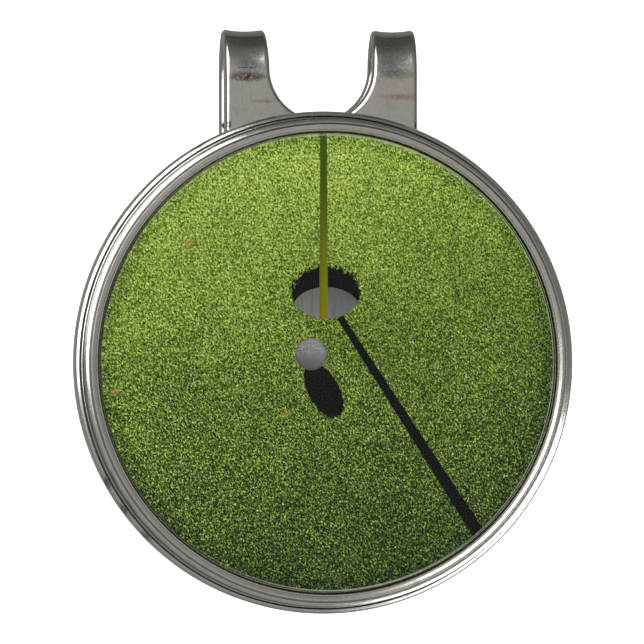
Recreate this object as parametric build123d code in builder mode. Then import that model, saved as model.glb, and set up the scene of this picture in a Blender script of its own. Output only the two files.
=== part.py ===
"""Golf ball marker seated in the magnetic cup of a spring-metal hat clip.

Sizes are in millimetres. The marker's axis is Z and its face looks to +Z. The clip's two arms
point to +Y and bend over backwards. The flat back of the tongue lies on Z = 0, so the clip lies
on its back with the marker facing up.
"""

import os

from build123d import *

# Clip sheet: front plate, bends and tongue share one thickness
sheet = 0.8
clip_height = 3.2
bend_length = 2.425
plate_inset = 0.61
arms_width = 10.08
arms_length = 1.93
slot_radius = 2.70
slot_rise = 0.36
sheet_edge = 0.18

# Tongue
tongue_set_back = 3.51
tongue_corner = 3.0
lead_in = 0.45
dimple_from_tip = 3.9
dimple_radius = 2.0
dimple_height = 0.8
dimple_sheet = 0.5
dimple_taper = 40
hollow_taper = 30

# Cup that is soldered to the plate, and the magnet in its floor
solder_thickness = 0.05
solder_inset = 0.6
cup_floor = 0.9
seat_depth = 0.4
cup_wall = 0.25
cup_lip_edge = 0.10
cup_foot_edge = 0.25
magnet_diameter = 12.0
magnet_thickness = 0.8
magnet_gap = 0.08
magnet_edge = 0.12
adhesive_thickness = 0.05

# Marker body: a one-inch coin with a stepped rim
marker_diameter = 25.4
marker_thickness = 1.9
marker_clearance = 0.06
marker_foot_edge = 0.15
land_height = 0.6
land_width = 0.25
land_edge = 0.06
step_draft = 0.11
outer_crest_width = 0.14
groove_width = 0.15
inner_crest_width = 0.14
crest_height = 0.07
groove_depth = 0.075
recess_depth = 0.45

# Print and dome that fill the marker's recess
insert_thickness = 0.12
insert_gap = 0.10
print_adhesive_inset = 0.3
dome_edge_height = 0.18
dome_crown = 0.85
dome_shoulder_width = 0.55
dome_shoulder_height = 0.45

# Heights and radii that follow from them
bend_z = clip_height / 2
arm_reach = arms_width / 2
plate_z = clip_height - sheet
cup_z = clip_height + solder_thickness
marker_z = cup_z + cup_floor
marker_radius = marker_diameter / 2
seat_radius = marker_radius + marker_clearance
cup_radius = seat_radius + cup_wall
plate_radius = cup_radius - plate_inset
bend_y = cup_radius + arms_length
slot_y = bend_y + slot_rise
tongue_tip_y = tongue_set_back - cup_radius
dimple_y = tongue_tip_y + dimple_from_tip
magnet_radius = magnet_diameter / 2
crest_z = marker_z + marker_thickness
land_z = marker_z + land_height
step_foot = marker_radius - land_width
step_top = step_foot - step_draft
outer_crest = step_top - outer_crest_width
groove = outer_crest - groove_width
recess_radius = groove - inner_crest_width
outer_peak = (step_top + outer_crest) / 2
groove_middle = (outer_crest + groove) / 2
inner_peak = (groove + recess_radius) / 2
crest_foot = crest_z - crest_height
groove_z = crest_foot - groove_depth
recess_z = crest_z - recess_depth
insert_z = recess_z + adhesive_thickness
insert_radius = recess_radius - insert_gap
dome_z = insert_z + insert_thickness


def finish(part: Part, name: str) -> None:
    """Labels a piece and writes it as parts/<name>.step.

    Args:
        part: The finished solid or solids.
        name: The piece's name.
    """
    part.label = name
    export_step(part, f"parts/{name}.step")


def arm_slot(start_z: float, end_z: float) -> Part:
    """Makes the solid that clears the round-ended slot between the arms.

    Args:
        start_z: Height of the slot's lower face.
        end_z: Height of its upper face.

    Returns:
        A prism from the slot's round end up past the bends.
    """
    slot_top = bend_y + 2 * bend_length
    with BuildPart(mode=Mode.PRIVATE) as cutter:
        with BuildSketch(Plane.XY.offset(start_z)):
            with Locations((0, slot_y)):
                Circle(slot_radius)
            with Locations((0, (slot_y + slot_top) / 2)):
                Rectangle(2 * slot_radius, slot_top - slot_y)
        extrude(amount=end_z - start_z)
    return cutter.part


os.makedirs("parts", exist_ok=True)
slot_cutter = arm_slot(-sheet, clip_height + sheet)

with BuildPart() as front_plate:
    with BuildSketch(Plane.XY.offset(plate_z)):
        Circle(plate_radius)
        with Locations((0, bend_y / 2)):
            Rectangle(arms_width, bend_y)
    extrude(amount=sheet)
    add(slot_cutter, mode=Mode.SUBTRACT)
    flat_edges = front_plate.faces().group_by(Axis.Z)[-1].edges()
    root_y = (plate_radius**2 - arm_reach**2) ** 0.5
    side_edges = flat_edges.filter_by(Axis.Y).filter_by_position(Axis.Y, root_y, bend_y)
    chamfer(side_edges, sheet_edge)
finish(front_plate.part, "front_plate")

with BuildPart() as spring_bends:
    with BuildSketch(Plane.YZ.offset(-arm_reach)):
        with Locations((bend_y, bend_z)):
            Ellipse(bend_length, bend_z)
            Ellipse(bend_length - sheet, bend_z - sheet, mode=Mode.SUBTRACT)
        with Locations((bend_y - bend_length, bend_z)):
            Rectangle(2 * bend_length, 2 * clip_height, mode=Mode.SUBTRACT)
    extrude(amount=arms_width)
    add(slot_cutter, mode=Mode.SUBTRACT)
    rims = spring_bends.edges().filter_by(GeomType.ELLIPSE)
    side_rims = rims.filter_by(lambda rim: abs(abs(rim.center().X) - arm_reach) < sheet_edge)
    bend_tip = bend_y + bend_length
    chamfer(side_rims.filter_by(lambda rim: rim.bounding_box().max.Y > bend_tip - sheet / 2), sheet_edge)
finish(spring_bends.part, "spring_bends")

with BuildPart() as tongue:
    with BuildSketch():
        with Locations((0, (bend_y + tongue_tip_y) / 2)):
            Rectangle(arms_width, bend_y - tongue_tip_y)
    extrude(amount=sheet)
    fillet(tongue.edges().filter_by(Axis.Z).group_by(Axis.Y)[0], tongue_corner)
    add(slot_cutter, mode=Mode.SUBTRACT)
    tip_edge = tongue.faces().sort_by(Axis.Z)[-1].edges().filter_by(Axis.X).sort_by(Axis.Y)[0]
    chamfer(tip_edge, lead_in)
    with BuildSketch(Plane.XY.offset(sheet)):
        with Locations((0, dimple_y)):
            Circle(dimple_radius)
    extrude(amount=dimple_height, taper=dimple_taper)
    with BuildSketch():
        with Locations((0, dimple_y)):
            Circle(dimple_radius - dimple_sheet)
    extrude(amount=sheet + dimple_height - dimple_sheet, taper=hollow_taper, mode=Mode.SUBTRACT)
finish(tongue.part, "tongue")

with BuildPart() as solder:
    with BuildSketch(Plane.XY.offset(clip_height)):
        Circle(plate_radius - solder_inset)
    extrude(amount=solder_thickness)
finish(solder.part, "solder")

with BuildPart() as cup:
    with BuildSketch(Plane.XY.offset(cup_z)):
        Circle(cup_radius)
    extrude(amount=cup_floor + seat_depth)
    with BuildSketch(Plane.XY.offset(marker_z)):
        Circle(seat_radius)
    extrude(amount=seat_depth, mode=Mode.SUBTRACT)
    with BuildSketch(Plane.XY.offset(cup_z)):
        Circle(magnet_radius + magnet_gap)
    extrude(amount=cup_floor, mode=Mode.SUBTRACT)
    cup_rims = cup.edges().filter_by(GeomType.CIRCLE).group_by(Axis.Z)
    fillet(cup_rims[-1].sort_by(SortBy.RADIUS)[-1], cup_lip_edge)
    fillet(cup_rims[0].sort_by(SortBy.RADIUS)[-1], cup_foot_edge)
finish(cup.part, "cup")

with BuildPart() as magnet_adhesive:
    with BuildSketch(Plane.XY.offset(cup_z)):
        Circle(magnet_radius)
    extrude(amount=adhesive_thickness)
finish(magnet_adhesive.part, "magnet_adhesive")

with BuildPart() as magnet:
    with BuildSketch(Plane.XY.offset(cup_z + adhesive_thickness)):
        Circle(magnet_radius)
    extrude(amount=magnet_thickness)
    chamfer(magnet.edges().filter_by(GeomType.CIRCLE).sort_by(Axis.Z)[-1], magnet_edge)
finish(magnet.part, "magnet")

with BuildPart() as marker_body:
    with BuildSketch(Plane.XZ):
        with BuildLine():
            Polyline(
                (0, marker_z),
                (marker_radius - marker_foot_edge, marker_z),
                (marker_radius, marker_z + marker_foot_edge),
                (marker_radius, land_z - land_edge),
                (marker_radius - land_edge, land_z),
                (step_foot, land_z),
                (step_top, crest_foot),
            )
            ThreePointArc((step_top, crest_foot), (outer_peak, crest_z), (outer_crest, crest_foot))
            ThreePointArc((outer_crest, crest_foot), (groove_middle, groove_z), (groove, crest_foot))
            ThreePointArc((groove, crest_foot), (inner_peak, crest_z), (recess_radius, crest_foot))
            Polyline(
                (recess_radius, crest_foot),
                (recess_radius, recess_z),
                (0, recess_z),
                (0, marker_z),
            )
        make_face()
    revolve(axis=Axis.Z)
finish(marker_body.part, "marker_body")

with BuildPart() as print_adhesive:
    with BuildSketch(Plane.XY.offset(recess_z)):
        Circle(insert_radius - print_adhesive_inset)
    extrude(amount=adhesive_thickness)
finish(print_adhesive.part, "print_adhesive")

with BuildPart() as printed_insert:
    with BuildSketch(Plane.XY.offset(insert_z)):
        Circle(insert_radius)
    extrude(amount=insert_thickness)
finish(printed_insert.part, "printed_insert")

with BuildPart() as dome:
    shoulder_radius = insert_radius - dome_shoulder_width
    with BuildSketch(Plane.XZ):
        with BuildLine():
            Polyline((0, dome_z), (insert_radius, dome_z), (insert_radius, dome_z + dome_edge_height))
            Spline(
                (insert_radius, dome_z + dome_edge_height),
                (shoulder_radius, dome_z + dome_shoulder_height),
                (0, dome_z + dome_crown),
                tangents=[(0, 1), (-1, 0)],
            )
            Line((0, dome_z + dome_crown), (0, dome_z))
        make_face()
    revolve(axis=Axis.Z)
finish(dome.part, "dome")
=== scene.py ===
"""Looks of a golf ball marker that sits in the magnetic cup of a two-armed hat clip.

Class fields are millimetres unless their docstring says otherwise. Meshes are metres.
"""

from __future__ import annotations

import bisect
import logging
import math
from dataclasses import dataclass
from enum import Enum
from functools import cached_property
from typing import Callable

import bmesh
import bpy
from mathutils import Matrix, Vector


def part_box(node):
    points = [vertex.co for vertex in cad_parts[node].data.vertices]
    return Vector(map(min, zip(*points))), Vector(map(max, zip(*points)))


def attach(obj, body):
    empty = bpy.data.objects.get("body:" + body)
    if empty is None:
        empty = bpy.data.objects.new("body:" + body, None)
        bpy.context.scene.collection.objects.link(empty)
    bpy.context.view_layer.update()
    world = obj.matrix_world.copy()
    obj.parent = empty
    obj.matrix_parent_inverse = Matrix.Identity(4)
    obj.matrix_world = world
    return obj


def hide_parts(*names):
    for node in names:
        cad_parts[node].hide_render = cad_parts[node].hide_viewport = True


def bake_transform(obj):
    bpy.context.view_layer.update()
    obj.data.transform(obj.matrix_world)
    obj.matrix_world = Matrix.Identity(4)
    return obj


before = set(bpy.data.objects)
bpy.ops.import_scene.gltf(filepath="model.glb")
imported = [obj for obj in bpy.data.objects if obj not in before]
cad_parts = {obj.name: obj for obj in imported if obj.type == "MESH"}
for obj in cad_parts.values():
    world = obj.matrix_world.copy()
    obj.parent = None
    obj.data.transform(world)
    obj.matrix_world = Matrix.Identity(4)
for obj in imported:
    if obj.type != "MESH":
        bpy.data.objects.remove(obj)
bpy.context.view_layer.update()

MM = 0.001
PER_MM = 1000.0
WELD = 1e-7
CUT_SNAP = 1e-5
SEAM_SNAP = 1e-4
LOG = logging.getLogger("ball_marker")

Point = tuple[float, float]
Triple = tuple[float, float, float]
Shade = tuple[float, float, float, float]
Socket = bpy.types.NodeSocket


def linear(red: int, green: int, blue: int) -> Shade:
    """Turns a colour of 0 to 255 per channel into scene-linear values.

    Args:
        red: Red channel.
        green: Green channel.
        blue: Blue channel.

    Returns:
        Linear red, green, blue and an alpha of 1.
    """

    def channel(value: int) -> float:
        """Linear value of one channel."""
        share = value / 255
        return share / 12.92 if share <= 0.04045 else ((share + 0.055) / 1.055) ** 2.4

    return channel(red), channel(green), channel(blue), 1.0


class Wires:
    """Adds shader nodes to a node tree and links them."""

    def __init__(self, tree: bpy.types.NodeTree) -> None:
        """Takes the tree."""
        self.tree = tree

    def add(self, kind: str, **settings: object) -> bpy.types.Node:
        """Adds a node.

        Args:
            kind: Node type without its ShaderNode prefix.
            **settings: Properties to set on it.

        Returns:
            The node.
        """
        node = self.tree.nodes.new("ShaderNode" + kind)
        for key, value in settings.items():
            setattr(node, key, value)
        return node

    def feed(self, socket: Socket, value: object) -> None:
        """Links a socket into another, or sets a plain value on it."""
        if isinstance(value, bpy.types.NodeSocket):
            self.tree.links.new(value, socket)
        else:
            socket.default_value = value

    def math(self, operation: str, *values: object, clamp: bool = False) -> Socket:
        """Adds a Math node.

        Args:
            operation: Blender's name for the operation.
            *values: One to three sockets or numbers.
            clamp: Whether the result is kept between 0 and 1.

        Returns:
            The result's socket.
        """
        node = self.add("Math", operation=operation, use_clamp=clamp)
        for socket, value in zip(node.inputs, values):
            self.feed(socket, value)
        return node.outputs[0]

    def plus(self, first: object, second: object, clamp: bool = False) -> Socket:
        """Adds two numbers."""
        return self.math("ADD", first, second, clamp=clamp)

    def minus(self, first: object, second: object) -> Socket:
        """Takes the second number from the first."""
        return self.math("SUBTRACT", first, second)

    def times(self, first: object, second: object) -> Socket:
        """Multiplies two numbers."""
        return self.math("MULTIPLY", first, second)

    def line(self, value: object, slope: object, start: object, clamp: bool = False) -> Socket:
        """Multiplies a number by a slope and adds a start."""
        return self.math("MULTIPLY_ADD", value, slope, start, clamp=clamp)

    def mix(self, share: object, first: object, second: object) -> Socket:
        """Mixes two colours.

        Args:
            share: How much of the second colour, from 0 to 1.
            first: First colour.
            second: Second colour.

        Returns:
            The mixed colour's socket.
        """
        node = self.add("Mix", data_type="RGBA", blend_type="MIX")
        self.feed(node.inputs[0], share)
        self.feed(node.inputs[6], first)
        self.feed(node.inputs[7], second)
        return node.outputs[2]

    def split(self, vector: Socket) -> tuple[Socket, ...]:
        """Splits a vector into its three numbers."""
        node = self.add("SeparateXYZ")
        self.feed(node.inputs[0], vector)
        return tuple(node.outputs)

    def join(self, x: object, y: object, z: object) -> Socket:
        """Joins three numbers into a vector."""
        node = self.add("CombineXYZ")
        for socket, value in zip(node.inputs, (x, y, z)):
            self.feed(socket, value)
        return node.outputs[0]

    def noise(
        self, vector: object, scale: float, detail: float = 2.0, rough: float = 0.5, warp: float = 0.0
    ) -> Socket:
        """Adds a noise pattern.

        Args:
            vector: Coordinates to read.
            scale: Features per unit.
            detail: Octaves.
            rough: Share of each finer octave.
            warp: Distortion.

        Returns:
            The noise value's socket.
        """
        node = self.add("TexNoise")
        self.feed(node.inputs["Vector"], vector)
        node.inputs["Scale"].default_value = scale
        node.inputs["Detail"].default_value = detail
        node.inputs["Roughness"].default_value = rough
        node.inputs["Distortion"].default_value = warp
        return node.outputs["Fac"]

    def cells(self, vector: object, scale: float, randomness: float = 1.0) -> bpy.types.Node:
        """Adds a cell pattern and returns its node."""
        node = self.add("TexVoronoi", feature="F1")
        node.inputs["Scale"].default_value = scale
        node.inputs["Randomness"].default_value = randomness
        self.feed(node.inputs["Vector"], vector)
        return node

    def fade(
        self, value: object, start: object, end: object, low: float = 0.0, high: float = 1.0
    ) -> Socket:
        """Turns a value into a smooth step.

        Args:
            value: What to read.
            start: Value where the step starts.
            end: Value where it ends.
            low: Result before the start.
            high: Result after the end.

        Returns:
            The step's socket.
        """
        node = self.add("MapRange", interpolation_type="SMOOTHSTEP")
        for socket, given in zip(node.inputs, (value, start, end, low, high)):
            self.feed(socket, given)
        return node.outputs[0]


class Graph(Wires):
    """Wires the shader nodes of one material."""

    def __init__(self, name: str) -> None:
        """Starts a material with a Principled shader.

        Args:
            name: The material's name.
        """
        self.material = bpy.data.materials.new(name)
        self.material.use_nodes = True
        super().__init__(self.material.node_tree)
        self.shader = self.tree.nodes["Principled BSDF"]
        self.output = self.tree.nodes["Material Output"]

    def place(self, scale: Triple = (1.0, 1.0, 1.0)) -> Socket:
        """Gives the piece's own coordinates in millimetres.

        Args:
            scale: Extra scale along each axis.

        Returns:
            The coordinates' socket.
        """
        mapping = self.add("Mapping")
        mapping.inputs["Scale"].default_value = tuple(PER_MM * share for share in scale)
        self.feed(mapping.inputs["Vector"], self.add("TexCoord").outputs["Object"])
        return mapping.outputs[0]

    @cached_property
    def axes(self) -> tuple[Socket, ...]:
        """The piece's own coordinates in millimetres, as three numbers."""
        return self.split(self.place())

    def ellipse(self, middle: Point, half: Point, lean: float = 0.0) -> Socket:
        """Measures how far a place is from an upright oval's middle, where 1 is its outline.

        Args:
            middle: The oval's middle.
            half: Its half length along and across.
            lean: The angle of its first axis, in radians.

        Returns:
            The measure's socket.
        """
        across = self.minus(self.axes[0], middle[0])
        up = self.minus(self.axes[1], middle[1])
        cosine, sine = math.cos(lean), math.sin(lean)
        along = self.plus(self.times(across, cosine), self.times(up, sine))
        aside = self.minus(self.times(up, cosine), self.times(across, sine))
        flat = self.join(self.math("DIVIDE", along, half[0]), self.math("DIVIDE", aside, half[1]), 0.0)
        node = self.add("VectorMath", operation="LENGTH")
        self.feed(node.inputs[0], flat)
        return node.outputs["Value"]

    @cached_property
    def reach(self) -> Socket:
        """Distance from the disc's axis, in millimetres."""
        return self.ellipse((0.0, 0.0), (1.0, 1.0))

    def bump(self, height: object, distance: float) -> None:
        """Raises the surface by a height pattern.

        Args:
            height: The pattern's socket.
            distance: Height of a full step, in millimetres.
        """
        node = self.add("Bump")
        node.inputs["Strength"].default_value = 1.0
        node.inputs["Distance"].default_value = distance * MM
        self.feed(node.inputs["Height"], height)
        self.feed(self.shader.inputs["Normal"], node.outputs[0])

    def see(self, first: Socket, second: Socket, rays: str) -> None:
        """Shows one shader, and another one to some rays.

        Args:
            first: The shader that most rays see.
            second: The shader that the chosen rays see.
            rays: The Light Path output that chooses them.
        """
        both = self.add("MixShader")
        self.feed(both.inputs[0], self.add("LightPath").outputs[rays])
        self.feed(both.inputs[1], first)
        self.feed(both.inputs[2], second)
        self.feed(self.output.inputs["Surface"], both.outputs[0])


class Grain(Enum):
    """Which way the fine marks of a metal surface run."""

    TURNED = "round the axis"
    ROLLED = "along the arms"
    CAST = "no direction"


@dataclass(frozen=True)
class ShadedCrevice:
    """A ring of painted shade in a crease or recess of the plating."""

    radius: float
    width: float
    depth: float


@dataclass(frozen=True)
class StainAndShade:
    """An oval patch of tarnish, also used for painted shade and painted dark reflections. It shows above
    its lowest height only.
    """

    middle: Point
    half: Point
    colour: Shade
    depth: float
    frayed: float = 1.6
    soft: float = 0.8
    lowest: float = -1.0


@dataclass(frozen=True)
class Plating:
    """Bright nickel plating with fine marks, smudges and a little tarnish, and painted shade in its
    crevices and dark patches.
    """

    name: str
    tint: Shade
    tarnish: Shade
    grain: Grain
    roughness: float = 0.14
    smudge: float = 0.16
    marks: float = 0.0012
    waviness: float = 0.004
    # Colour of the painted shade in the crevices.
    painted_dark: Shade = linear(22, 18, 15)
    shaded_crevices: tuple[ShadedCrevice, ...] = ()
    stains_and_shade: tuple[StainAndShade, ...] = ()

    def coordinates(self, graph: Graph) -> Socket:
        """Gives coordinates that stretch the marks along the grain.

        Args:
            graph: The material's graph.

        Returns:
            The coordinates' socket.
        """
        if self.grain is Grain.ROLLED:
            return graph.place((1.0, 0.12, 1.0))
        if self.grain is Grain.CAST:
            return graph.place()
        x, y, z = graph.axes
        spokes = [graph.math("DIVIDE", number, graph.reach) for number in (x, y)]
        return graph.join(*spokes, graph.plus(graph.reach, z))

    def aged_and_shaded(self, graph: Graph, colour: Socket, frayed: Socket) -> Socket:
        """Paints shade into the crevices, and lays stains and painted shade patches over them.

        Args:
            graph: The material's graph.
            colour: The plating's own colour.
            frayed: A pattern that breaks up the edges of the patches.

        Returns:
            The aged colour's socket.
        """
        # Painted shade: each crevice ring darkens the plating towards the painted dark colour.
        for shaded_crevice in self.shaded_crevices:
            off = graph.math("ABSOLUTE", graph.minus(graph.reach, shaded_crevice.radius))
            share = graph.fade(off, shaded_crevice.width, shaded_crevice.width * 0.35, 0.0, shaded_crevice.depth)
            share = graph.times(share, graph.fade(frayed, 0.3, 0.6, 0.75, 1.0))
            colour = graph.mix(share, colour, self.painted_dark)
        # Tarnish stains, and patches of painted shade and dark reflection.
        for stain_and_shade in self.stains_and_shade:
            patch = graph.ellipse(stain_and_shade.middle, stain_and_shade.half)
            patch = graph.line(graph.minus(frayed, 0.5), stain_and_shade.frayed * 2, patch)
            share = graph.fade(patch, 1.0, 1.0 - stain_and_shade.soft, 0.0, stain_and_shade.depth)
            share = graph.times(share, graph.fade(frayed, 0.42, 0.56, 0.35, 1.0))
            share = graph.times(share, graph.fade(graph.axes[2], stain_and_shade.lowest - 0.1, stain_and_shade.lowest))
            colour = graph.mix(share, colour, stain_and_shade.colour)
        return colour

    def build(self) -> bpy.types.Material:
        """Wires the plating.

        Returns:
            The material.
        """
        graph = Graph(self.name)
        plain = graph.place()
        lines = graph.noise(self.coordinates(graph), 22.0, 4.0, 0.7)
        haze = graph.noise(plain, 0.55, 4.0, 0.55, 0.4)
        frayed = graph.noise(plain, 5.5, 5.0, 0.75)
        smears = graph.fade(graph.noise(plain, 1.7, 5.0, 0.6, 0.3), 0.52, 0.78)
        specks = graph.fade(graph.noise(plain, 9.0, 3.0, 0.6), 0.64, 0.76)
        worn = graph.plus(graph.times(smears, 0.5), graph.times(specks, 0.4), clamp=True)
        clean = graph.mix(graph.fade(lines, 0.35, 0.7, 0.0, 0.22), self.tint, self.tarnish)
        dulled = graph.mix(worn, clean, self.tarnish)
        graph.feed(graph.shader.inputs["Base Color"], self.aged_and_shaded(graph, dulled, frayed))
        graph.shader.inputs["Metallic"].default_value = 1.0
        rough = graph.line(haze, self.smudge, self.roughness - self.smudge / 2)
        rough = graph.line(lines, 0.08, rough)
        graph.feed(graph.shader.inputs["Roughness"], graph.line(worn, 0.18, rough, clamp=True))
        swell = graph.noise(plain, 0.8, 2.0, 0.4)
        height = graph.line(swell, self.waviness / self.marks, lines)
        graph.bump(graph.plus(height, graph.times(specks, -1.6)), self.marks)
        return graph.material


@dataclass(frozen=True)
class Resin:
    """Clear cast resin, water-white and polished by its own surface tension."""

    name: str = "clear_resin"
    density: float = 1.34

    def build(self) -> bpy.types.Material:
        """Wires the resin so that lamps shine through it.

        Returns:
            The material.
        """
        graph = Graph(self.name)
        shader = graph.shader
        shader.inputs["Base Color"].default_value = (0.985, 0.99, 0.98, 1.0)
        shader.inputs["Transmission Weight"].default_value = 1.0
        shader.inputs["IOR"].default_value = self.density
        shader.inputs["Specular IOR Level"].default_value = 0.35
        smears = graph.noise(graph.place(), 0.35, 3.0, 0.5, 0.6)
        graph.feed(shader.inputs["Roughness"], graph.fade(smears, 0.45, 0.8, 0.015, 0.07))
        graph.bump(graph.noise(graph.place(), 0.12, 1.0), 0.012)
        clear = graph.add("BsdfTransparent")
        clear.inputs[0].default_value = (0.97, 0.97, 0.96, 1.0)
        graph.see(shader.outputs[0], clear.outputs[0], "Is Shadow Ray")
        return graph.material


@dataclass(frozen=True)
class GreenPicture:
    """The print under the dome: a mown putting green with hole, flagstick, ball and their shadows."""

    name: str = "green_print"
    edge: float = 11.70
    paper_edge: float = 11.75
    dead_blades: tuple[Point, ...] = ((-7.25, 6.2), (-11.05, -1.5), (-2.25, -2.65))
    hole: Point = (-0.15, 3.62)
    hole_half: Point = (1.81, 1.36)
    liner: Point = (-0.14, 2.77)
    liner_half: Point = (1.74, 1.13)
    stick_x: float = -0.27
    stick_half: Point = (0.18, 0.22)
    stick_foot: float = 2.28
    ball: Point = (-0.93, 0.44)
    ball_radius: float = 0.83
    ball_shadow: Point = (-0.27, -1.42)
    ball_shadow_half: Point = (1.56, 0.80)
    ball_shadow_lean: float = math.radians(-61)
    stick_shadow_start: Point = (0.57, 2.36)
    stick_shadow_end: Point = (7.76, -8.74)
    stick_shadow_half: Point = (0.18, 0.33)
    black: Shade = linear(9, 8, 10)

    def daylight(self, graph: Graph, leaning: Socket) -> Socket:
        """Shades the green, bright at the top left and darker at the bottom right.

        Args:
            graph: The material's graph.
            leaning: Coordinates that lean with the blades.

        Returns:
            The brightness, before the blades.
        """
        x, y, _ = graph.axes
        shade = graph.line(x, -0.0060, graph.line(y, 0.0256, 0.418))
        tufts = graph.noise(leaning, 2.4, 3.0, 0.65)
        shade = graph.line(tufts, 0.24, graph.minus(shade, 0.12))
        patches = graph.noise(graph.join(x, y, 0.0), 0.2, 2.0, 0.5)
        return graph.line(patches, 0.24, graph.minus(shade, 0.12))

    def grass(self, graph: Graph) -> Socket:
        """Colours the mown grass.

        Args:
            graph: The material's graph.

        Returns:
            The colour's socket.
        """
        x, y, _ = graph.axes
        leaning = graph.join(graph.line(y, 0.35, x), graph.times(y, 0.72), 0.0)
        blades = graph.noise(leaning, 12.5, 3.0, 0.75)
        chance, other, _ = graph.split(graph.cells(leaning, 17.0).outputs["Color"])
        spread = graph.fade(y, 5.0, -8.0, 1.0, 1.6)
        light = graph.times(graph.minus(blades, 0.5), graph.times(spread, 2.3))
        light = graph.plus(light, self.daylight(graph, leaning))
        light = graph.line(graph.times(graph.minus(chance, 0.5), spread), 0.5, light)
        # Painted shade: the grass darkens near its edge, under the dome's shoulder.
        light = graph.minus(light, graph.fade(graph.reach, 10.95, 11.25, 0.0, 0.085))
        ramp = graph.add("ValToRGB")
        steps = (
            (0.0, linear(8, 15, 5)),
            (0.25, linear(30, 53, 12)),
            (0.5, linear(79, 106, 28)),
            (0.72, linear(132, 154, 52)),
            (1.0, linear(190, 206, 112)),
        )
        elements = ramp.color_ramp.elements
        for position, _ in steps[1:-1]:
            elements.new(position)
        for element, (position, colour) in zip(elements, steps):
            element.position = position
            element.color = colour
        graph.feed(ramp.inputs[0], light)
        tips = graph.noise(graph.join(graph.plus(x, 31.0), graph.plus(y, 17.0), 4.0), 12.0, 2.0, 0.7)
        dusty = graph.times(graph.fade(tips, 0.5, 0.62), graph.fade(other, 0.72, 0.8, 0.0, 0.7))
        colour = graph.mix(dusty, ramp.outputs[0], linear(112, 118, 104))
        bluish = graph.times(graph.fade(tips, 0.5, 0.4), graph.fade(other, 0.3, 0.2, 0.0, 0.7))
        colour = graph.mix(bluish, colour, linear(24, 44, 30))
        crumbs = graph.line(chance, 0.8, -0.4)
        for middle in self.dead_blades:
            spot = graph.plus(graph.ellipse(middle, (0.30, 0.17), 0.35), crumbs)
            colour = graph.mix(graph.fade(spot, 1.1, 0.5, 0.0, 0.5), colour, linear(146, 104, 58))
        return colour

    def strip(self, graph: Graph, start: Point, end: Point, half: Point) -> Socket:
        """Marks a straight tapering strip.

        Args:
            graph: The material's graph.
            start: Middle of the strip's first end.
            end: Middle of its other end.
            half: Half width at each end.

        Returns:
            A socket that is 1 inside the strip and 0 outside it.
        """
        length = math.dist(start, end)
        way = ((end[0] - start[0]) / length, (end[1] - start[1]) / length)
        across = graph.minus(graph.axes[0], start[0])
        up = graph.minus(graph.axes[1], start[1])
        along = graph.plus(graph.times(across, way[0]), graph.times(up, way[1]))
        aside = graph.minus(graph.times(up, way[0]), graph.times(across, way[1]))
        width = graph.line(along, (half[1] - half[0]) / length, half[0])
        inside = graph.minus(width, graph.math("ABSOLUTE", aside))
        return graph.times(graph.fade(inside, -0.035, 0.035), graph.fade(along, -0.03, 0.03))

    def shadows(self, graph: Graph, colour: Socket, ragged: Socket) -> Socket:
        """Lays the shadows of the flagstick and the ball on the grass.

        Args:
            graph: The material's graph.
            colour: The grass.
            ragged: A pattern that frays edges.

        Returns:
            The colour's socket.
        """
        stick = self.strip(graph, self.stick_shadow_start, self.stick_shadow_end, self.stick_shadow_half)
        colour = graph.mix(stick, colour, self.black)
        ball = graph.ellipse(self.ball_shadow, self.ball_shadow_half, self.ball_shadow_lean)
        ball = graph.line(ragged, graph.fade(graph.axes[1], -1.2, -2.6, 0.08, 0.45), ball)
        return graph.mix(graph.fade(ball, 1.03, 0.97), colour, self.black)

    def pit(self, graph: Graph, colour: Socket, ragged: Socket) -> Socket:
        """Cuts the hole, dark inside, with its pale streaked liner.

        Args:
            graph: The material's graph.
            colour: The grass.
            ragged: A pattern that frays edges.

        Returns:
            The colour's socket.
        """
        x, y, _ = graph.axes
        upper = graph.fade(y, self.hole[1] - 0.6, self.hole[1] + 0.6, 0.15, 0.8)
        opening = graph.line(ragged, upper, graph.ellipse(self.hole, self.hole_half))
        hole = graph.fade(opening, 1.02, 0.97)
        colour = graph.mix(hole, colour, self.black)
        paint = graph.mix(graph.fade(x, -1.6, 1.4), linear(96, 96, 90), linear(78, 78, 81))
        paint = graph.mix(graph.fade(y, 3.6, 2.4, 0.0, 0.35), paint, linear(120, 119, 124))
        streaks = graph.noise(graph.place((1.0, 0.14, 1.0)), 7.0, 4.0, 0.75)
        paint = graph.mix(graph.fade(streaks, 0.48, 0.66, 0.0, 0.4), paint, linear(58, 58, 56))
        wall = graph.fade(graph.ellipse(self.liner, self.liner_half), 1.01, 0.98)
        return graph.mix(graph.times(wall, hole), colour, paint)

    def flagstick(self, graph: Graph, colour: Socket) -> Socket:
        """Stands the flagstick in the hole, golden at its foot and greener above.

        Args:
            graph: The material's graph.
            colour: What is behind it.

        Returns:
            The colour's socket.
        """
        x, y, _ = graph.axes
        off = graph.minus(x, self.stick_x)
        rise = graph.fade(y, self.stick_foot, self.edge)
        half = graph.line(rise, self.stick_half[0] - self.stick_half[1], self.stick_half[1])
        stick = graph.fade(graph.minus(half, graph.math("ABSOLUTE", off)), -0.03, 0.03)
        stick = graph.times(stick, graph.fade(y, self.stick_foot - 0.05, self.stick_foot + 0.05))
        paint = graph.mix(graph.fade(y, 2.2, 4.0), linear(116, 96, 6), linear(96, 100, 8))
        paint = graph.mix(graph.fade(y, 3.6, 10.0), paint, linear(50, 68, 4))
        paint = graph.mix(graph.fade(off, -0.22, 0.02, 0.35, 0.0), paint, linear(66, 64, 14))
        return graph.mix(stick, colour, paint)

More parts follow.
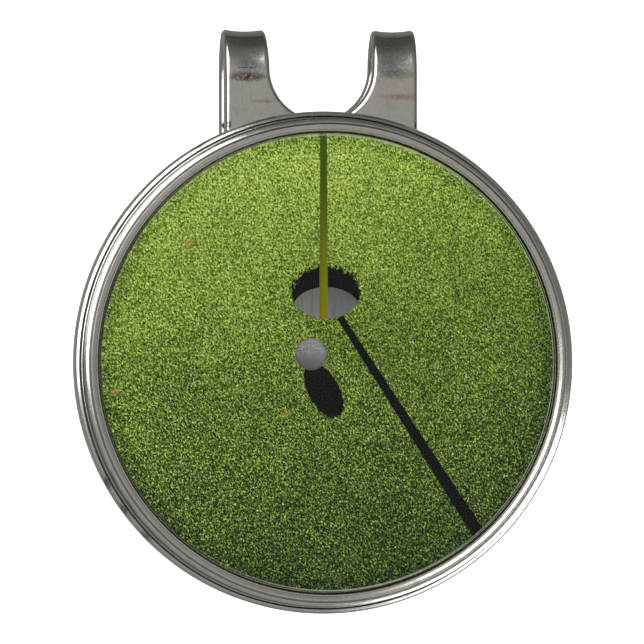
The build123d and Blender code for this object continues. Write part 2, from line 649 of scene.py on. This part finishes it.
    def golf_ball(self, graph: Graph, colour: Socket) -> Socket:
        """Lays the ball on the grass, lit from above and dimpled.

        Args:
            graph: The material's graph.
            colour: What is behind it.

        Returns:
            The colour's socket.
        """
        x, y, _ = graph.axes
        outline = graph.ellipse(self.ball, (self.ball_radius, self.ball_radius))
        lit = graph.fade(graph.line(x, 0.25, graph.minus(y, self.ball[1] - 0.25)), -0.75, 0.75)
        dimples = graph.cells(graph.join(x, graph.line(y, 1.7, 0.12), 0.0), 6.0, 0.6).outputs["Distance"]
        upper = graph.fade(y, self.ball[1] - 0.25, self.ball[1] + 0.3, 0.1, 1.0)
        dents = graph.times(graph.fade(dimples, 0.5, 0.2), upper)
        glints = graph.times(graph.fade(dimples, 0.5, 0.62), upper)
        skin = graph.mix(lit, linear(80, 78, 77), linear(122, 121, 123))
        skin = graph.mix(graph.times(dents, 0.4), skin, linear(76, 74, 96))
        skin = graph.mix(graph.times(glints, 0.4), skin, linear(148, 147, 148))
        skin = graph.mix(graph.fade(outline, 0.80, 1.0, 0.0, 0.55), skin, linear(62, 62, 58))
        return graph.mix(graph.fade(outline, 1.03, 0.97), colour, skin)

    def build(self) -> bpy.types.Material:
        """Wires the picture.

        Returns:
            The material.
        """
        graph = Graph(self.name)
        ragged = graph.minus(graph.noise(graph.place((1.0, 0.55, 1.0)), 7.0, 3.0, 0.8), 0.5)
        colour = self.shadows(graph, self.grass(graph), ragged)
        colour = self.pit(graph, colour, ragged)
        colour = self.golf_ball(graph, self.flagstick(graph, colour))
        reach = graph.reach
        margin = graph.fade(reach, self.edge - 0.02, self.edge + 0.01, 0.0, 0.7)
        colour = graph.mix(margin, colour, linear(150, 152, 140))
        # Painted shadow: the ring outside the paper's edge is black, for the recess wall's shadow.
        colour = graph.mix(graph.fade(reach, self.paper_edge - 0.02, self.paper_edge), colour, self.black)
        graph.feed(graph.shader.inputs["Base Color"], colour)
        weave = graph.noise(graph.place(), 6.0, 2.0)
        graph.feed(graph.shader.inputs["Roughness"], graph.line(weave, 0.2, 0.35))
        graph.shader.inputs["Specular IOR Level"].default_value = 0.0
        graph.bump(weave, 0.0006)
        return graph.material


@dataclass(frozen=True)
class Dull:
    """A dull glue or soft metal, mottled and a little uneven."""

    name: str
    light: Shade
    dark: Shade
    metallic: float
    roughness: float
    grain: float = 6.0

    def build(self) -> bpy.types.Material:
        """Wires the finish.

        Returns:
            The material.
        """
        graph = Graph(self.name)
        mottle = graph.noise(graph.place(), self.grain, 5.0, 0.6, 0.3)
        graph.feed(graph.shader.inputs["Base Color"], graph.mix(mottle, self.light, self.dark))
        graph.shader.inputs["Metallic"].default_value = self.metallic
        graph.feed(graph.shader.inputs["Roughness"], graph.line(mottle, 0.2, self.roughness))
        graph.bump(mottle, 0.01)
        return graph.material


def rounded(corners: list[Triple], closed: bool = False, steps: int = 6) -> list[Point]:
    """Rounds the corners of an outline with arcs.

    Args:
        corners: Radius or width, height, and the corner's rounding.
        closed: Whether the last corner joins the first.
        steps: Steps in each rounded corner.

    Returns:
        The outline's points.
    """
    points: list[Point] = []
    count = len(corners)
    for index, (x, y, rounding) in enumerate(corners):
        ends = not closed and index in (0, count - 1)
        if ends or rounding <= 0:
            points.append((x, y))
            continue
        here = Vector((x, y))
        before = (Vector(corners[index - 1][:2]) - here).normalized()
        after = (Vector(corners[(index + 1) % count][:2]) - here).normalized()
        half = before.angle(after) / 2
        middle = here + (before + after).normalized() * (rounding / math.sin(half))
        first = here + before * (rounding / math.tan(half)) - middle
        last = here + after * (rounding / math.tan(half)) - middle
        sweep = first.angle_signed(last)
        for step in range(steps + 1):
            spoke = first.copy()
            spoke.rotate(Matrix.Rotation(-sweep * step / steps, 2))
            points.append(tuple(middle + spoke))
    return points


def finished(shape: bmesh.types.BMesh, name: str, material: bpy.types.Material) -> bpy.types.Object:
    """Makes a shown object of a bmesh, with smooth shading weighted by face area.

    Args:
        shape: The mesh, in metres. It is freed.
        name: The piece's name.
        material: Its finish.

    Returns:
        The object, at the origin.
    """
    mesh = bpy.data.meshes.new(name)
    for face in shape.faces:
        face.smooth = True
    shape.to_mesh(mesh)
    shape.free()
    mesh.materials.append(material)
    piece = bpy.data.objects.new(name, mesh)
    bpy.context.scene.collection.objects.link(piece)
    weighted = piece.modifiers.new("even_shading", "WEIGHTED_NORMAL")
    weighted.weight = 100
    weighted.keep_sharp = True
    return piece


def turned(
    name: str,
    outline: list[Point],
    material: bpy.types.Material,
    closed: bool = False,
    steps: int = 288,
) -> bpy.types.Object:
    """Spins an outline about the disc's axis.

    Args:
        name: The piece's name.
        outline: Radius and height of each point, in millimetres.
        material: Its finish.
        closed: Whether the outline is a ring's section.
        steps: Steps in the turn.

    Returns:
        The object.
    """
    shape = bmesh.new()
    corners = [shape.verts.new((radius * MM, 0.0, height * MM)) for radius, height in outline]
    lines = [shape.edges.new(pair) for pair in zip(corners, corners[1:])]
    if closed:
        lines.append(shape.edges.new((corners[-1], corners[0])))
    bmesh.ops.spin(
        shape,
        geom=[*corners, *lines],
        axis=(0, 0, 1),
        cent=(0, 0, 0),
        angle=math.tau,
        steps=steps,
        use_merge=True,
    )
    bmesh.ops.remove_doubles(shape, verts=shape.verts[:], dist=WELD)
    bmesh.ops.recalc_face_normals(shape, faces=shape.faces[:])
    return finished(shape, name, material)


def slab(
    outline: list[Point], thickness: float, edge: float, sharp: Callable[[Vector], bool]
) -> bmesh.types.BMesh:
    """Cuts a flat sheet to an outline and rounds its long edges.

    Args:
        outline: The outline's points.
        thickness: The sheet's thickness. It lies from height 0 upwards.
        edge: Rounding of the edges.
        sharp: Tells whether an edge with this middle stays sharp.

    Returns:
        The solid, in millimetres.
    """
    shape = bmesh.new()
    face = shape.faces.new([shape.verts.new((x, y, 0.0)) for x, y in outline])
    raised = bmesh.ops.extrude_face_region(shape, geom=[face], use_keep_orig=True)["geom"]
    top = [item for item in raised if isinstance(item, bmesh.types.BMVert)]
    bmesh.ops.translate(shape, verts=top, vec=(0.0, 0.0, thickness))
    bmesh.ops.recalc_face_normals(shape, faces=shape.faces[:])
    rim = []
    for line in shape.edges:
        first, last = (corner.co for corner in line.verts)
        if abs(first.z - last.z) < WELD and not sharp((first + last) / 2):
            rim.append(line)
    bmesh.ops.bevel(shape, geom=rim, offset=edge, segments=5, profile=0.5, affect="EDGES", material=-1)
    bmesh.ops.remove_doubles(shape, verts=shape.verts[:], dist=WELD * PER_MM)
    return shape


def sliced(shape: bmesh.types.BMesh, axis: int, start: float, end: float, step: float) -> None:
    """Cuts extra lines into a mesh so that it can bend smoothly.

    Args:
        shape: The mesh.
        axis: 0 for cuts across X, 1 for cuts across Y.
        start: First cut.
        end: Last cut.
        step: Distance between cuts.
    """
    normal = (1.0, 0.0, 0.0) if axis == 0 else (0.0, 1.0, 0.0)
    cuts = round((end - start) / step)
    for index in range(cuts + 1):
        place = start + index * (end - start) / cuts
        where = (place, 0.0, 0.0) if axis == 0 else (0.0, place, 0.0)
        everything = [*shape.verts, *shape.edges, *shape.faces]
        bmesh.ops.bisect_plane(shape, geom=everything, dist=CUT_SNAP, plane_co=where, plane_no=normal)


@dataclass
class ClipSheet:
    """The pressed spring sheet: front disc, two bent arms and the tongue behind."""

    thickness: float = 0.8
    height: float = 3.2
    disc: float = 12.4
    reach: float = 5.04
    bend_y: float = 14.94
    bend_length: float = 2.425
    slot: float = 2.70
    rear_slot: float = 2.80
    slot_rise: float = 0.36
    seam_y: float = 10.9
    edge: float = 0.24
    hollow: float = 0.13
    taper: float = 0.06
    tip_y: float = -9.5
    tip_corner: float = 3.0
    lead_in: float = 0.4
    dimple_y: float = -5.6
    dimple: float = 2.0
    dimple_height: float = 0.8
    dimple_inside: float = 0.92
    tip_length: float = 1.4
    samples: int = 400
    cut_inset: float = 0.3
    flat_step: float = 0.4
    bend_step: float = 0.12
    fine_step: float = 0.2
    pressed_reach: float = 2.2

    def __post_init__(self) -> None:
        """Measures the bend's middle line, half an ellipse."""
        self.bend_z = self.height / 2
        self.across = self.bend_z - self.thickness / 2
        self.along = self.bend_length - self.thickness / 2
        self.flat = self.bend_y - self.seam_y
        self.travel = [0.0]
        before = self.on_bend(0.0)[0]
        for sample in range(1, self.samples + 1):
            here = self.on_bend(math.pi * sample / self.samples)[0]
            self.travel.append(self.travel[-1] + (here - before).length)
            before = here
        self.round = self.travel[-1]
        self.length = 2 * self.flat + self.round

    def on_bend(self, turn: float) -> tuple[Vector, Vector]:
        """Finds a place on the bend's middle line.

        Args:
            turn: The ellipse's angle, 0 at the front and pi at the back.

        Returns:
            The place as Y and Z from the bend's middle, and the outward direction there.
        """
        sine, cosine = math.sin(turn), math.cos(turn)
        outward = Vector((self.across * sine, self.along * cosine)).normalized()
        return Vector((self.along * sine, self.across * cosine)), outward

    def turn_at(self, along: float) -> float:
        """Finds the ellipse's angle after a length of sheet.

        Args:
            along: Length from where the bend starts.

        Returns:
            The angle.
        """
        index = min(bisect.bisect_right(self.travel, along), self.samples) - 1
        share = (along - self.travel[index]) / (self.travel[index + 1] - self.travel[index])
        return math.pi * (index + share) / self.samples

    def slot_start(self) -> float:
        """Distance along the sheet to the middle of the slot's round end."""
        return self.flat + self.slot_rise

    def half_outline(self) -> list[Point]:
        """Draws the right half of the flat arms, from the front seam to the rear seam.

        Returns:
            Points across the sheet and along it.
        """
        points: list[Point] = [(0.0, 0.0)]
        corner = math.sqrt(self.disc**2 - self.reach**2)
        for step in range(6):
            y = self.seam_y + (corner - self.seam_y) * step / 5
            points.append((math.sqrt(self.disc**2 - y**2), y - self.seam_y))
        points += [(self.reach, self.length), (0.0, self.length)]
        turns = [math.pi / 2 * step / 18 for step in range(19)]
        start = self.slot_start()
        near = [(self.slot * math.sin(turn), start - self.slot * math.cos(turn)) for turn in turns]
        far = [(x * self.rear_slot / self.slot, self.length - along) for x, along in near]
        span = self.length - 2 * start
        rows = 28
        waist = []
        for row in range(1, rows):
            share = row / rows
            inner = self.slot + (self.rear_slot - self.slot) * share
            waist.append((inner + self.taper * math.sin(math.pi * share) ** 2, start + span * share))
        return points + far + waist[::-1] + near[::-1]

    def folded(self, flat: Vector) -> Vector:
        """Folds one point of the flat arms round the bend.

        Args:
            flat: Across the sheet, along it, and height above its inner side.

        Returns:
            The point's place on the clip.
        """
        x, along, height = flat
        rise = height - self.thickness / 2
        if along <= self.flat:
            return Vector((x, self.seam_y + along, self.bend_z + self.across + rise))
        if along >= self.flat + self.round:
            return Vector((x, self.seam_y + self.length - along, self.bend_z - self.across - rise))
        turn = self.turn_at(along - self.flat)
        place, outward = self.on_bend(turn)
        width = self.reach - self.slot
        offset = min(1.0, abs(abs(x) - self.slot - width / 2) / (width / 2))
        rise -= self.hollow * (1 - offset**2) * math.sin(turn) ** 0.8
        place += outward * rise
        return Vector((x, self.bend_y + place.x, self.bend_z + place.y))

    def arms(self, material: bpy.types.Material) -> bpy.types.Object:
        """Makes the two arms with their bends.

        Args:
            material: The sheet's finish.

        Returns:
            The object.
        """

        def sharp(middle: Vector) -> bool:
            """Keeps the seams and the line between the halves sharp."""
            return middle.x < SEAM_SNAP or middle.y < SEAM_SNAP or middle.y > self.length - SEAM_SNAP

        shape = slab(self.half_outline(), self.thickness, self.edge, sharp)
        inset = self.cut_inset
        sliced(shape, 1, inset, self.flat - 0.05, self.flat_step)
        sliced(shape, 1, self.flat, self.flat + self.round, self.bend_step)
        sliced(shape, 1, self.length - self.flat + inset, self.length - inset, self.flat_step)
        sliced(shape, 0, self.slot + inset, self.reach - inset, self.fine_step)
        geometry = [*shape.verts, *shape.edges, *shape.faces]
        bmesh.ops.mirror(shape, geom=geometry, matrix=Matrix.Identity(4), merge_dist=SEAM_SNAP, axis="X")
        inner = [face for face in shape.faces if all(abs(corner.co.x) < SEAM_SNAP for corner in face.verts)]
        bmesh.ops.delete(shape, geom=inner, context="FACES")
        for corner in shape.verts:
            corner.co = self.folded(corner.co) * MM
        bmesh.ops.remove_doubles(shape, verts=shape.verts[:], dist=WELD)
        bmesh.ops.recalc_face_normals(shape, faces=shape.faces[:])
        piece = finished(shape, "clip_arms", material)
        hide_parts("spring_bends")
        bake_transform(piece)
        return piece

    def front(self, material: bpy.types.Material) -> bpy.types.Object:
        """Makes the disc behind the cup.

        Args:
            material: The sheet's finish.

        Returns:
            The object.
        """
        half = math.acos(self.seam_y / self.disc)
        steps = 240
        sweep = math.tau - 2 * half
        outline = []
        for step in range(steps + 1):
            turn = math.pi / 2 + half + sweep * step / steps
            outline.append((self.disc * math.cos(turn), self.disc * math.sin(turn)))
        shape = slab(outline, self.thickness, self.edge, lambda middle: middle.y > self.seam_y - 1e-3)
        bmesh.ops.translate(shape, verts=shape.verts[:], vec=(0.0, 0.0, self.height - self.thickness))
        bmesh.ops.scale(shape, verts=shape.verts[:], vec=(MM, MM, MM))
        piece = finished(shape, "clip_front", material)
        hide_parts("front_plate")
        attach(piece, "clip")
        return piece

    def pressed(self, place: Vector) -> Vector:
        """Presses the dimple and thins the tip of the tongue.

        Args:
            place: A point of the flat tongue.

        Returns:
            The point after pressing.
        """
        x, y, z = place
        away = math.hypot(x, y - self.dimple_y) / self.dimple
        if away < 1:
            side = 1.0 if z > self.thickness / 2 else self.dimple_inside
            z += self.dimple_height * (1 - away**2) ** 1.5 * side
        tip = max(0.0, 1 - (y - self.tip_y) / self.tip_length)
        if z > self.thickness / 2:
            z -= self.lead_in * tip**1.5
        return Vector((x, y, z))

    def tongue(self, material: bpy.types.Material) -> bpy.types.Object:
        """Makes the tongue that grips the brim.

        Args:
            material: The sheet's finish.

        Returns:
            The object.
        """
        corners = [
            (self.reach, self.seam_y, 0.0),
            (-self.reach, self.seam_y, 0.0),
            (-self.reach, self.tip_y, self.tip_corner),
            (self.reach, self.tip_y, self.tip_corner),
        ]
        outline = rounded(corners, closed=True, steps=20)
        shape = slab(outline, self.thickness, self.edge, lambda middle: middle.y > self.seam_y - 1e-3)
        around, step = self.pressed_reach, self.fine_step
        sliced(shape, 0, -around, around, step)
        sliced(shape, 1, self.dimple_y - around, self.dimple_y + around, step)
        sliced(shape, 1, self.tip_y + self.cut_inset, self.tip_y + self.tip_length + 0.1, 0.15)
        for corner in shape.verts:
            corner.co = self.pressed(corner.co) * MM
        piece = finished(shape, "clip_tongue", material)
        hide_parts("tongue")
        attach(piece, "tongue_body")
        return piece


@dataclass
class MagnetCup:
    """The shallow cup and the magnet in its floor."""

    base: float
    floor_height: float = 0.90
    depth: float = 0.40
    inner: float = 12.76
    outer: float = 13.01
    hole: float = 6.08
    magnet: float = 6.0
    magnet_gap: float = 0.05
    bright_lip: float = 0.19

    def __post_init__(self) -> None:
        """Works out the heights."""
        self.floor = self.base + self.floor_height
        self.lip = self.floor + self.depth

    def shell(self, material: bpy.types.Material) -> bpy.types.Object:
        """Makes the cup.

        Args:
            material: Its plating.

        Returns:
            The object.
        """
        corners = [
            (self.hole, self.base, 0.03),
            (self.outer, self.base, 0.25),
            (self.outer, self.lip - 0.22, 0.10),
            (self.outer - 0.09, self.lip - 0.055, 0.04),
            (self.outer - 0.235, self.lip, 0.02),
            (self.inner, self.lip, 0.03),
            (self.inner, self.floor, 0.05),
            (self.hole, self.floor, 0.05),
        ]
        piece = turned("cup_shell", rounded(corners, closed=True, steps=8), material, closed=True)
        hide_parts("cup")
        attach(piece, "clip")
        return piece

    def disc(self, material: bpy.types.Material) -> bpy.types.Object:
        """Makes the magnet.

        Args:
            material: Its plating.

        Returns:
            The object.
        """
        corners = [
            (0.0, self.base + self.magnet_gap, 0.0),
            (self.magnet, self.base + self.magnet_gap, 0.12),
            (self.magnet, self.floor - self.magnet_gap, 0.14),
            (0.0, self.floor - self.magnet_gap, 0.0),
        ]
        piece = turned("magnet_disc", rounded(corners), material, steps=192)
        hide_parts("magnet")
        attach(piece, "clip")
        return piece


@dataclass
class Marker:
    """The coin with its stepped rim, the print in its recess and the dome over it."""

    base: float
    height: float = 1.90
    radius: float = 12.70
    land_height: float = 0.62
    foot: float = 12.61
    shoulder_foot: float = 12.58
    shoulder_top: float = 12.43
    valley: float = 12.37
    ridge: float = 12.29
    inner_top: float = 12.21
    inner_foot: float = 12.05
    recess: float = 11.91
    recess_depth: float = 0.45
    print_lift: float = 0.05
    print_thickness: float = 0.12
    print_radius: float = 11.81
    dome_height: float = 0.85
    crown: float = 0.24
    shoulder: float = 0.72
    shoulder_drop: float = 0.08

    def __post_init__(self) -> None:
        """Works out the heights."""
        self.crest = self.base + self.height
        self.land = self.base + self.land_height
        self.recess_floor = self.crest - self.recess_depth
        self.print_base = self.recess_floor + self.print_lift
        self.print_top = self.print_base + self.print_thickness
        self.dome_top = self.print_top + self.dome_height

    def rim(self, material: bpy.types.Material) -> bpy.types.Object:
        """Makes the coin.

        Args:
            material: Its plating.

        Returns:
            The object.
        """
        corners = [
            (0.0, self.base, 0.0),
            (self.radius, self.base, 0.15),
            (self.radius, self.land - 0.03, 0.05),
            (self.radius - 0.06, self.land, 0.03),
            (self.foot, self.land, 0.08),
            (self.shoulder_foot, self.crest - 0.14, 0.04),
            (self.shoulder_top, self.crest - 0.08, 0.02),
            (self.valley, self.crest - 0.078, 0.02),
            (self.ridge, self.crest, 0.02),
            (self.inner_top, self.crest, 0.03),
            (self.inner_foot, self.crest - 0.05, 0.02),
            (self.inner_foot - 0.07, self.crest - 0.05, 0.02),
            (self.recess, self.crest - 0.12, 0.03),
            (self.recess, self.recess_floor, 0.0),
            (0.0, self.recess_floor, 0.0),
        ]
        piece = turned("marker_coin", rounded(corners), material, steps=320)
        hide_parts("marker_body")
        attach(piece, "marker")
        return piece

    def face(self, material: bpy.types.Material) -> bpy.types.Object:
        """Makes the printed disc.

        Args:
            material: The picture.

        Returns:
            The object.
        """
        corners = [
            (0.0, self.print_base, 0.0),
            (self.print_radius, self.print_base, 0.01),
            (self.print_radius, self.print_top, 0.02),
            (0.0, self.print_top, 0.0),
        ]
        piece = turned("printed_face", rounded(corners, steps=3), material, steps=256)
        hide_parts("printed_insert")
        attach(piece, "marker")
        return piece

    def dome(self, material: bpy.types.Material) -> bpy.types.Object:
        """Makes the resin dome, with a rounded shoulder and a gentle crown.

        Args:
            material: The resin.

        Returns:
            The object.
        """
        foot = self.print_top - 0.01
        start = self.print_radius - self.shoulder
        brow = self.dome_top - self.crown
        corners = [
            (self.print_radius, foot, 0.0),
            (self.print_radius, brow - self.shoulder_drop, 0.09),
            (start + self.shoulder * 0.45, brow - self.shoulder_drop * 0.34, 0.5),
            (start, brow, 0.9),
        ]
        rings = 24
        crowned = [start * (1 - step / rings) for step in range(1, rings + 1)]
        corners += [(radius, self.dome_top - self.crown * (radius / start) ** 2, 0.0) for radius in crowned]
        outline = [(0.0, foot), *rounded(corners, steps=8)]
        piece = turned("resin_dome", outline, material, steps=256)
        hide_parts("dome")
        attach(piece, "marker")
        return piece


@dataclass
class Studio:
    """Pale floor, soft lights and the camera."""

    floor_radius: float = 900.0
    view_turn: float = math.radians(7.6)
    target: Triple = (-0.19, 2.10, 4.75)
    field: float = 33.3
    lens: float = 400.0
    sensor: float = 36.0
    lamp_distance: float = 300.0

    def floor(self) -> None:
        """Lays the floor."""
        graph = Graph("pale_floor")
        graph.shader.inputs["Base Color"].default_value = (0.86, 0.86, 0.86, 1.0)
        graph.shader.inputs["Roughness"].default_value = 0.9
        glow = graph.add("Emission")
        glow.inputs["Color"].default_value = (1.0, 1.0, 1.0, 1.0)
        glow.inputs["Strength"].default_value = 1.0
        dim = graph.add("Emission")
        dim.inputs["Color"].default_value = (0.9, 0.88, 0.85, 1.0)
        graph.feed(dim.inputs["Strength"], graph.fade(graph.axes[1], 8.0, 40.0, 0.34, 0.07))
        seen = graph.add("AddShader")
        graph.feed(seen.inputs[0], graph.shader.outputs[0])
        graph.feed(seen.inputs[1], glow.outputs[0])
        graph.see(dim.outputs[0], seen.outputs[0], "Is Camera Ray")
        shape = bmesh.new()
        bmesh.ops.create_circle(shape, cap_ends=True, segments=96, radius=self.floor_radius * MM)
        mesh = bpy.data.meshes.new("floor")
        shape.to_mesh(mesh)
        shape.free()
        mesh.materials.append(graph.material)
        floor = bpy.data.objects.new("floor", mesh)
        bpy.context.scene.collection.objects.link(floor)

    def sky(self) -> None:
        """Fills the room with soft grey light, brightest overhead towards the upper left."""
        world = bpy.data.worlds.new("studio")
        bpy.context.scene.world = world
        world.use_nodes = True
        wires = Wires(world.node_tree)
        ways = wires.add("TexCoord").outputs["Generated"]

        def facing(way: Triple, start: float, end: float, low: float, high: float) -> Socket:
            """Smooth step of how nearly a direction agrees with another."""
            dot = wires.add("VectorMath", operation="DOT_PRODUCT")
            dot.inputs[1].default_value = tuple(Vector(way).normalized())
            wires.feed(dot.inputs[0], ways)
            return wires.fade(dot.outputs["Value"], start, end, low, high)

        overall = facing((0.0, 0.0, 1.0), 0.0, 1.0, 0.16, 0.42)
        glow = facing((-0.28, 0.30, 0.95), 0.955, 0.999, 0.0, 0.30)
        dark_top = facing((0.0, 0.85, 0.5), 0.72, 0.97, 1.0, 0.45)
        dark_right = facing((0.9, 0.25, 0.4), 0.70, 0.97, 1.0, 0.66)
        light = wires.plus(wires.times(wires.times(overall, dark_top), dark_right), glow)
        tint = wires.add("Mix", data_type="RGBA", blend_type="MULTIPLY")
        tint.inputs[0].default_value = 1.0
        wires.feed(tint.inputs[6], light)
        tint.inputs[7].default_value = (1.0, 0.985, 0.94, 1.0)
        back = wires.tree.nodes["Background"]
        wires.feed(back.inputs[0], tint.outputs[2])
        back.inputs[1].default_value = 1.0

    def lamp(self, name: str, azimuth: float, elevation: float, size: Point, power: float) -> None:
        """Hangs a soft box that faces the marker.

        Args:
            name: The lamp's name.
            azimuth: Degrees from +X towards +Y.
            elevation: Degrees above the floor.
            size: Width and height.
            power: Watts.
        """
        light = bpy.data.lights.new(name, "AREA")
        light.shape = "RECTANGLE"
        light.size, light.size_y = size[0] * MM, size[1] * MM
        light.energy = power
        lamp = bpy.data.objects.new(name, light)
        turn, rise = math.radians(azimuth), math.radians(elevation)
        way = Vector((math.cos(turn) * math.cos(rise), math.sin(turn) * math.cos(rise), math.sin(rise)))
        lamp.location = way * self.lamp_distance * MM
        lamp.rotation_euler = way.to_track_quat("Z", "Y").to_euler()
        bpy.context.scene.collection.objects.link(lamp)

    def lights(self) -> None:
        """Hangs the lights."""
        self.lamp("key", 143.0, 48.0, (290.0, 240.0), 0.72)
        self.lamp("fill", -42.0, 31.0, (270.0, 110.0), 0.42)

    def camera(self) -> None:
        """Sets the camera, looking down on the face from a little to its left."""
        data = bpy.data.cameras.new("camera")
        data.lens = self.lens
        data.sensor_width = self.sensor
        data.clip_start = 0.005
        distance = self.field * self.lens / self.sensor
        way = Vector((-math.sin(self.view_turn), 0.0, math.cos(self.view_turn)))
        side = Vector((0.0, 1.0, 0.0)).cross(way).normalized()
        up = way.cross(side)
        camera = bpy.data.objects.new("camera", data)
        turn = Matrix((side, up, way)).transposed().to_4x4()
        camera.matrix_world = Matrix.Translation((Vector(self.target) + way * distance) * MM) @ turn
        bpy.context.scene.collection.objects.link(camera)
        bpy.context.scene.camera = camera
        bpy.context.scene.view_settings.view_transform = "Standard"


def dress(node: str, material: bpy.types.Material) -> None:
    """Gives a CAD node that is kept its finish.

    Args:
        node: The node's name.
        material: Its finish.
    """
    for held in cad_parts[node].material_slots:
        held.material = material


def main() -> None:
    """Builds every piece, the lights and the camera."""
    logging.basicConfig(level=logging.INFO, format="%(name)s: %(message)s")
    clip = ClipSheet()
    cup = MagnetCup(base=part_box("cup")[0][2] * PER_MM)
    marker = Marker(base=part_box("marker_body")[0][2] * PER_MM)

    nickel, tarnish = linear(212, 210, 205), linear(152, 146, 134)
    brown, blue, rust = linear(84, 68, 52), linear(96, 112, 124), linear(150, 108, 84)
    painted_dark, corner_shade = linear(44, 36, 30), linear(16, 14, 12)
    clip_finish = Plating(
        "clip_plating",
        nickel,
        tarnish,
        Grain.ROLLED,
        stains_and_shade=(
            # The brown and blue patches on the bend paint its mottled press marks together with the dark
            # reflections there.
            StainAndShade((-3.9, 14.84), (1.3, 0.34), brown, 0.95, 1.0, 0.5),
            StainAndShade((3.9, 15.02), (1.3, 0.42), brown, 0.8),
            StainAndShade((-3.7, 15.45), (1.2, 0.60), blue, 0.8),
            StainAndShade((3.5, 15.45), (1.2, 0.65), blue, 0.8),
            StainAndShade((-3.6, 16.6), (1.5, 0.5), brown, 0.5),
            StainAndShade((3.6, 16.4), (1.6, 0.6), brown, 0.4),
            StainAndShade((-3.0, 13.55), (0.8, 0.12), brown, 0.5),
            # Painted dark reflection: the thin near-black line where the fold starts.
            StainAndShade((-3.95, 15.30), (0.55, 0.035), linear(20, 20, 22), 0.95, 0.1, 0.4),
            StainAndShade((4.1, 13.80), (1.3, 0.24), rust, 0.75),
            # Painted shade: the dark spots in the corners where the arms meet the cup.
            StainAndShade((-4.84, 12.36), (0.16, 0.30), corner_shade, 1.0, 0.5, 0.6),
            StainAndShade((4.95, 12.35), (0.12, 0.20), corner_shade, 1.0, 0.5, 0.6),
        ),
    ).build()
    cup_finish = Plating(
        "cup_plating",
        nickel,
        tarnish,
        Grain.TURNED,
        # Painted shade in the gap round the coin.
        shaded_crevices=(ShadedCrevice(12.76, 0.03, 0.35),),
        # Painted dark reflections: the first three dark patches on the cup's lip at the lower left; the
        # other two are dark spots at the upper left.
        stains_and_shade=tuple(
            StainAndShade(middle, half, painted_dark, depth, lowest=cup.lip - cup.bright_lip)
            for middle, half, depth in (
                ((-11.35, -6.2), (0.40, 0.70), 0.9),
                ((-10.5, -7.60), (0.50, 0.55), 0.9),
                ((-9.4, -9.0), (0.60, 0.50), 0.8),
                ((-6.6, 11.2), (0.75, 0.45), 0.7),
                ((-10.9, 7.1), (0.35, 0.75), 0.5),
            )
        ),
    ).build()
    coin_finish = Plating(
        "marker_plating",
        nickel,
        tarnish,
        Grain.TURNED,
        roughness=0.13,
        # Painted shade: a near-black ring by the recess wall and darker rings in the rim's grooves.
        shaded_crevices=(
            ShadedCrevice(11.90, 0.07, 0.97),
            ShadedCrevice(12.045, 0.025, 0.5),
            ShadedCrevice(12.38, 0.035, 0.5),
            ShadedCrevice(12.62, 0.03, 0.5),
        ),
    ).build()
    grey = linear(176, 177, 180)
    magnet_finish = Plating("magnet_plating", grey, tarnish, Grain.CAST, roughness=0.3).build()
    solder_finish = Dull("solder_metal", linear(150, 150, 146), linear(96, 94, 90), 1.0, 0.4).build()
    glue_finish = Dull("glue", linear(190, 176, 130), linear(140, 120, 80), 0.0, 0.35).build()

    pieces = [
        clip.front(clip_finish),
        clip.arms(clip_finish),
        clip.tongue(clip_finish),
        cup.shell(cup_finish),
        cup.disc(magnet_finish),
        marker.rim(coin_finish),
        marker.face(GreenPicture().build()),
        marker.dome(Resin().build()),
    ]
    for piece in pieces:
        LOG.info("%s: %d faces", piece.name, len(piece.data.polygons))
    dress("solder", solder_finish)
    dress("magnet_adhesive", glue_finish)
    dress("print_adhesive", glue_finish)

    studio = Studio()
    studio.floor()
    studio.sky()
    studio.lights()
    studio.camera()


if __name__ == "__main__":
    main()
